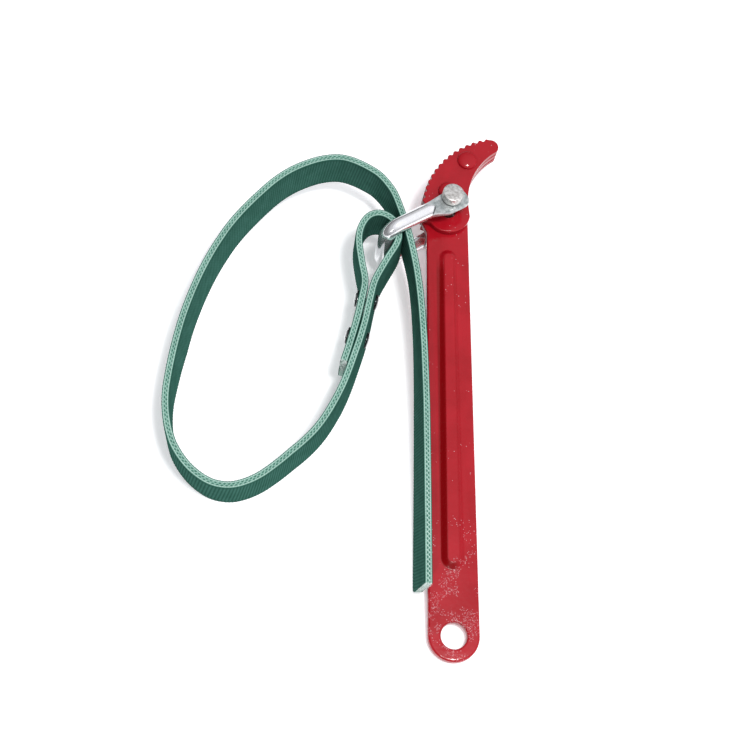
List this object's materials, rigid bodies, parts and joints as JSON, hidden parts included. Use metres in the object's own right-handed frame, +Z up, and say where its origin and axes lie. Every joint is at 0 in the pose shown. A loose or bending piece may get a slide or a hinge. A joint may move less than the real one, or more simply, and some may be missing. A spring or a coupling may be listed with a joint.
{
  "type": "oil filter wrench",
  "caption": "Belt-type oil filter wrench: a red ribbed steel handle with a toothed jaw, a bent-rod shackle on a pivot pin and a looped green belt that grips the filter.",
  "frame": {"origin": "centre of the object's box at the surface it lies on, with the wrench on its side and its belt standing on edge", "axes": "+Y from the handle's tail to the jaw, +Z up from the surface, +X away from the belt loop"},
  "size_m": [0.1816, 0.2989, 0.0485],
  "materials": {
    "red_paint": "gloss enamel over forged steel",
    "zinc_plate": "bright zinc plate",
    "dark_steel": "blackened steel rivets",
    "green_belt": "woven-cord belt with ribbed green rubber faces"
  },
  "bodies": {
    "handle": {"handle_bar": "red_paint", "jaw_cheek_front": "red_paint", "jaw_cheek_back": "red_paint", "jaw_rivet_tip": "red_paint", "jaw_rivet_heel": "red_paint", "pivot_pin": "zinc_plate", "pivot_washer": "zinc_plate"},
    "shackle": {"shackle": "zinc_plate"},
    "belt": {"belt": "green_belt", "belt_rivet_near": "dark_steel", "belt_rivet_far": "dark_steel", "belt_washer_near": "dark_steel", "belt_washer_far": "dark_steel"}
  },
  "joints": [
    {"name": "shackle_swing", "type": "hinge", "parent": "handle", "child": "shackle", "pos_m": [0.061, 0.1011, 0.0239], "axis": [0, 0, 1], "range_deg": [-40, 0]},
    {"name": "belt_swing", "type": "hinge", "parent": "shackle", "child": "belt", "pos_m": [0.02521, 0.07874, 0.0239], "axis": [0, 0, 1], "range_deg": [-15, 0]}
  ]
}
